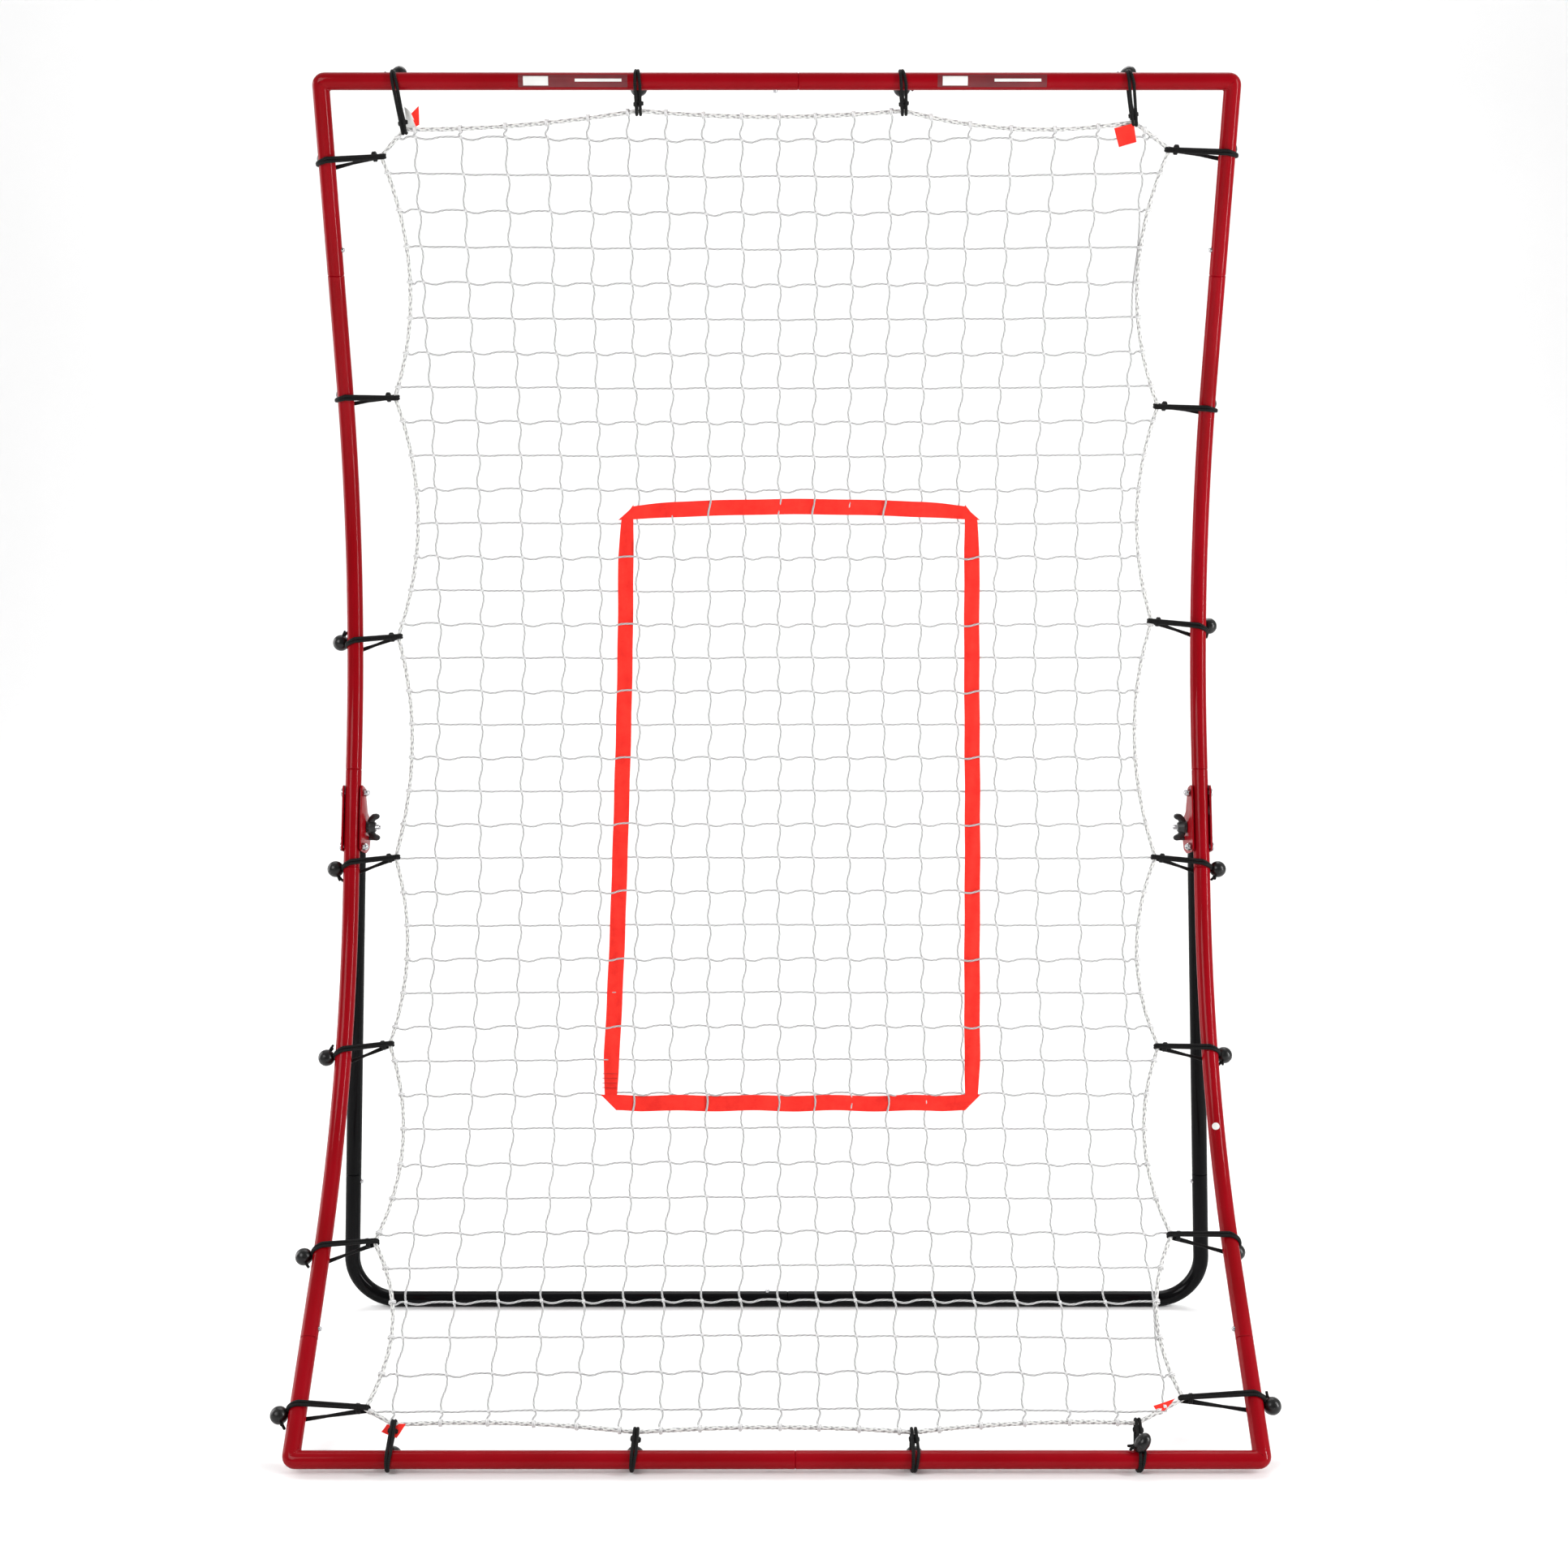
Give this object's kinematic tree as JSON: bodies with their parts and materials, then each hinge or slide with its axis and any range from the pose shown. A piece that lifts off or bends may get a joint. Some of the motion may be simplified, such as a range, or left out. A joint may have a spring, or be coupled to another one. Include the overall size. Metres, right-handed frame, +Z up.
{
  "type": "pitch back rebounder",
  "caption": "Folding tubular steel frame holding a stretched rebound net with a strike-zone target, on elastic ball cords, propped by a hinged rear leg.",
  "frame": {"origin": "on the floor, under the middle of the object's box", "axes": "+Z up; +X to the right of a player who faces the net; +Y away from the player, from the front rail to the rear bar"},
  "size_m": [1.1778, 0.5388, 1.6138],
  "materials": {
    "red_paint": "gloss powder coat on thin steel tube",
    "black_paint": "gloss black powder coat on thin steel tube",
    "zinc_steel": "bright zinc plate",
    "black_plastic": "moulded satin black plastic",
    "elastic_cord": "black woven sheath over elastic, gloss black ball",
    "braided_rope": "off-white braided cord with grey flecks",
    "net_twine": "white knotted twine",
    "red_webbing": "bright red-orange woven webbing"
  },
  "bodies": {
    "frame": {"top_corner_tube_left": "red_paint", "upper_side_tube_left": "red_paint", "hinge_tube_left": "red_paint", "lower_side_tube_left": "red_paint", "bottom_corner_tube_left": "red_paint", "top_corner_tube_right": "red_paint", "upper_side_tube_right": "red_paint", "hinge_tube_right": "red_paint", "lower_side_tube_right": "red_paint", "bottom_corner_tube_right": "red_paint", "hinge_bracket_left": "red_paint", "hinge_bracket_right": "red_paint", "bracket_bolt_lower_left": "zinc_steel", "bracket_bolt_upper_left": "zinc_steel", "bracket_bolt_lower_right": "zinc_steel", "bracket_bolt_upper_right": "zinc_steel", "pivot_bolt_left": "zinc_steel", "pivot_bolt_right": "zinc_steel", "edge_rope": "braided_rope", "rebound_net": "net_twine", "target_webbing": "red_webbing", "ball_cord_left_1": "elastic_cord", "ball_cord_left_2": "elastic_cord", "ball_cord_left_3": "elastic_cord", "ball_cord_left_4": "elastic_cord", "ball_cord_left_5": "elastic_cord", "ball_cord_left_6": "elastic_cord", "ball_cord_left_7": "elastic_cord", "ball_cord_right_1": "elastic_cord", "ball_cord_right_2": "elastic_cord", "ball_cord_right_3": "elastic_cord", "ball_cord_right_4": "elastic_cord", "ball_cord_right_5": "elastic_cord", "ball_cord_right_6": "elastic_cord", "ball_cord_right_7": "elastic_cord", "ball_cord_top_1": "elastic_cord", "ball_cord_top_2": "elastic_cord", "ball_cord_top_3": "elastic_cord", "ball_cord_top_4": "elastic_cord", "ball_cord_front_1": "elastic_cord", "ball_cord_front_2": "elastic_cord", "ball_cord_front_3": "elastic_cord", "ball_cord_front_4": "elastic_cord"},
    "leg": {"rear_leg_tube_left": "black_paint", "rear_foot_tube_left": "black_paint", "rear_leg_tube_right": "black_paint", "rear_foot_tube_right": "black_paint"},
    "snap_button_top_rail": {"snap_button_top_rail": "zinc_steel"},
    "snap_button_front_rail": {"snap_button_front_rail": "zinc_steel"},
    "snap_button_rear_bar": {"snap_button_rear_bar": "zinc_steel"},
    "snap_button_upper_left": {"snap_button_upper_left": "zinc_steel"},
    "snap_button_lower_left": {"snap_button_lower_left": "zinc_steel"},
    "snap_button_leg_left": {"snap_button_leg_left": "zinc_steel"},
    "snap_button_upper_right": {"snap_button_upper_right": "zinc_steel"},
    "snap_button_lower_right": {"snap_button_lower_right": "zinc_steel"},
    "snap_button_leg_right": {"snap_button_leg_right": "zinc_steel"},
    "wing_nut_left": {"wing_nut_left": "black_plastic"},
    "wing_nut_right": {"wing_nut_right": "black_plastic"},
    "lock_pin_left": {"lock_pin_left": "zinc_steel"},
    "lock_pin_right": {"lock_pin_right": "zinc_steel"}
  },
  "joints": [
    {"name": "leg_fold", "type": "hinge", "parent": "frame", "child": "leg", "pos_m": [0, 0.20438, 0.67126], "axis": [1, 0, 0], "range_deg": [-18, 0]},
    {"name": "snap_button_upper_left_press", "type": "slide", "parent": "frame", "child": "snap_button_upper_left", "axis": [-1, 0, 0], "range_m": [0, 0.0045], "stiffness_N_per_m": 900},
    {"name": "snap_button_lower_left_press", "type": "slide", "parent": "frame", "child": "snap_button_lower_left", "axis": [-1, 0, 0], "range_m": [0, 0.0045], "stiffness_N_per_m": 900},
    {"name": "snap_button_leg_left_press", "type": "slide", "parent": "leg", "child": "snap_button_leg_left", "axis": [-0.9986, -0.0044, 0.0531], "range_m": [0, 0.0045], "stiffness_N_per_m": 900},
    {"name": "snap_button_upper_right_press", "type": "slide", "parent": "frame", "child": "snap_button_upper_right", "axis": [1, 0, 0], "range_m": [0, 0.0045], "stiffness_N_per_m": 900},
    {"name": "snap_button_lower_right_press", "type": "slide", "parent": "frame", "child": "snap_button_lower_right", "axis": [1, 0, 0], "range_m": [0, 0.0045], "stiffness_N_per_m": 900},
    {"name": "snap_button_leg_right_press", "type": "slide", "parent": "leg", "child": "snap_button_leg_right", "axis": [0.9986, -0.0044, 0.0531], "range_m": [0, 0.0045], "stiffness_N_per_m": 900},
    {"name": "snap_button_top_rail_press", "type": "slide", "parent": "frame", "child": "snap_button_top_rail", "axis": [0, -0.274, 0.9617], "range_m": [0, 0.0045], "stiffness_N_per_m": 900},
    {"name": "snap_button_front_rail_press", "type": "slide", "parent": "frame", "child": "snap_button_front_rail", "axis": [0, -0.6858, 0.7278], "range_m": [0, 0.0045], "stiffness_N_per_m": 900},
    {"name": "snap_button_rear_bar_press", "type": "slide", "parent": "leg", "child": "snap_button_rear_bar", "axis": [0, 0, -1], "range_m": [0, 0.0045], "stiffness_N_per_m": 900},
    {"name": "wing_nut_left_turn", "type": "hinge", "parent": "frame", "child": "wing_nut_left", "pos_m": [-0.54875, 0.20438, 0.67126], "axis": [-1, 0, 0], "continuous": true},
    {"name": "lock_pin_left_pull", "type": "slide", "parent": "frame", "child": "lock_pin_left", "axis": [-1, 0, 0], "range_m": [0, 0.045]},
    {"name": "wing_nut_right_turn", "type": "hinge", "parent": "frame", "child": "wing_nut_right", "pos_m": [0.54875, 0.20438, 0.67126], "axis": [1, 0, 0], "continuous": true},
    {"name": "lock_pin_right_pull", "type": "slide", "parent": "frame", "child": "lock_pin_right", "axis": [1, 0, 0], "range_m": [0, 0.045]}
  ]
}
